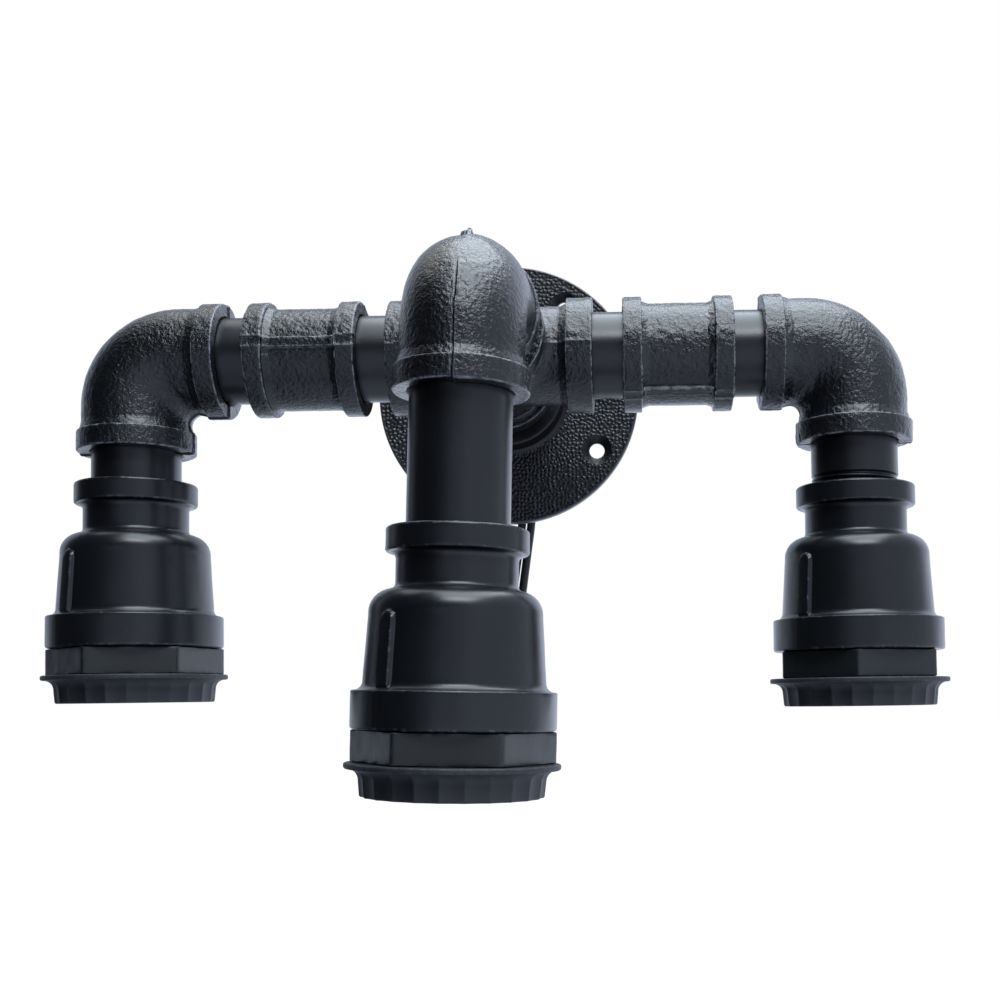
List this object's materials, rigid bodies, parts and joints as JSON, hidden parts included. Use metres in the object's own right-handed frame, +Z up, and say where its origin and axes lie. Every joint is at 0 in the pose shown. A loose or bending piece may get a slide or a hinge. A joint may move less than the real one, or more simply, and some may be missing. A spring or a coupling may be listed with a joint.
{
  "type": "pipe wall light",
  "caption": "Wall light built from black threaded pipe and cast fittings: bell lamp heads that swivel on elbows, screwed shade rings, a cross and a round wall plate.",
  "frame": {"origin": "centre of the wall plate's back face", "axes": "+X to the right along the arms as seen from the room, +Y into the wall, +Z up"},
  "size_m": [0.2816, 0.1687, 0.1794],
  "materials": {
    "gloss_cast": "glossy black enamel on rough casting",
    "satin_cast": "satin black paint on smooth casting",
    "pipe_black": "satin black paint on drawn pipe",
    "plate_black": "pebbled black paint",
    "bush_black": "dull black paint",
    "moulding_black": "dull moulded thermoset",
    "insert_ceramic": "unglazed porcelain",
    "contact_brass": "pressed brass",
    "plated_screws": "zinc plated",
    "lead_sleeve": "soft black insulation",
    "connector_nylon": "natural nylon"
  },
  "bodies": {
    "fixture": {"wall_plate": "plate_black", "back_nipple": "pipe_black", "cross": "gloss_cast", "left_inner_nipple": "pipe_black", "right_inner_nipple": "pipe_black", "left_coupler": "gloss_cast", "right_coupler": "gloss_cast", "left_outer_nipple": "pipe_black", "right_outer_nipple": "pipe_black", "front_nipple": "pipe_black", "wire_connector": "connector_nylon", "connector_screws": "plated_screws", "left_inner_lead": "lead_sleeve", "right_inner_lead": "lead_sleeve", "front_inner_lead": "lead_sleeve", "left_tail_wire": "lead_sleeve", "right_tail_wire": "lead_sleeve"},
    "left_head": {"left_elbow": "gloss_cast", "left_drop_pipe": "pipe_black", "left_bell": "satin_cast", "left_hex_bush": "bush_black", "left_holder_skirt": "moulding_black", "left_holder_insert": "insert_ceramic", "left_terminal_screws": "plated_screws", "left_screw_shell": "contact_brass", "left_centre_contact": "contact_brass", "left_head_lead": "lead_sleeve"},
    "left_ring": {"left_shade_ring": "moulding_black"},
    "right_head": {"right_elbow": "gloss_cast", "right_drop_pipe": "pipe_black", "right_bell": "satin_cast", "right_hex_bush": "bush_black", "right_holder_skirt": "moulding_black", "right_holder_insert": "insert_ceramic", "right_terminal_screws": "plated_screws", "right_screw_shell": "contact_brass", "right_centre_contact": "contact_brass", "right_head_lead": "lead_sleeve"},
    "right_ring": {"right_shade_ring": "moulding_black"},
    "front_head": {"front_elbow": "gloss_cast", "front_drop_pipe": "pipe_black", "front_bell": "satin_cast", "front_hex_bush": "bush_black", "front_holder_skirt": "moulding_black", "front_holder_insert": "insert_ceramic", "front_terminal_screws": "plated_screws", "front_screw_shell": "contact_brass", "front_centre_contact": "contact_brass", "front_head_lead": "lead_sleeve"},
    "front_ring": {"front_shade_ring": "moulding_black"}
  },
  "joints": [
    {"name": "left_swivel", "type": "hinge", "parent": "fixture", "child": "left_head", "pos_m": [-0.0842, -0.053, 0], "axis": [-1, 0, 0], "range_deg": [-12, 90]},
    {"name": "left_ring_unscrew", "type": "slide", "parent": "left_head", "child": "left_ring", "axis": [0, 0, -1], "range_m": [0, 0.006]},
    {"name": "right_swivel", "type": "hinge", "parent": "fixture", "child": "right_head", "pos_m": [0.0842, -0.053, 0], "axis": [-1, 0, 0], "range_deg": [-12, 90]},
    {"name": "right_ring_unscrew", "type": "slide", "parent": "right_head", "child": "right_ring", "axis": [0, 0, -1], "range_m": [0, 0.006]},
    {"name": "front_swivel", "type": "hinge", "parent": "fixture", "child": "front_head", "pos_m": [0, -0.0965, 0], "axis": [0, -1, 0], "range_deg": [-45, 45]},
    {"name": "front_ring_unscrew", "type": "slide", "parent": "front_head", "child": "front_ring", "axis": [-0.0295, 0, -0.9996], "range_m": [0, 0.006]}
  ]
}
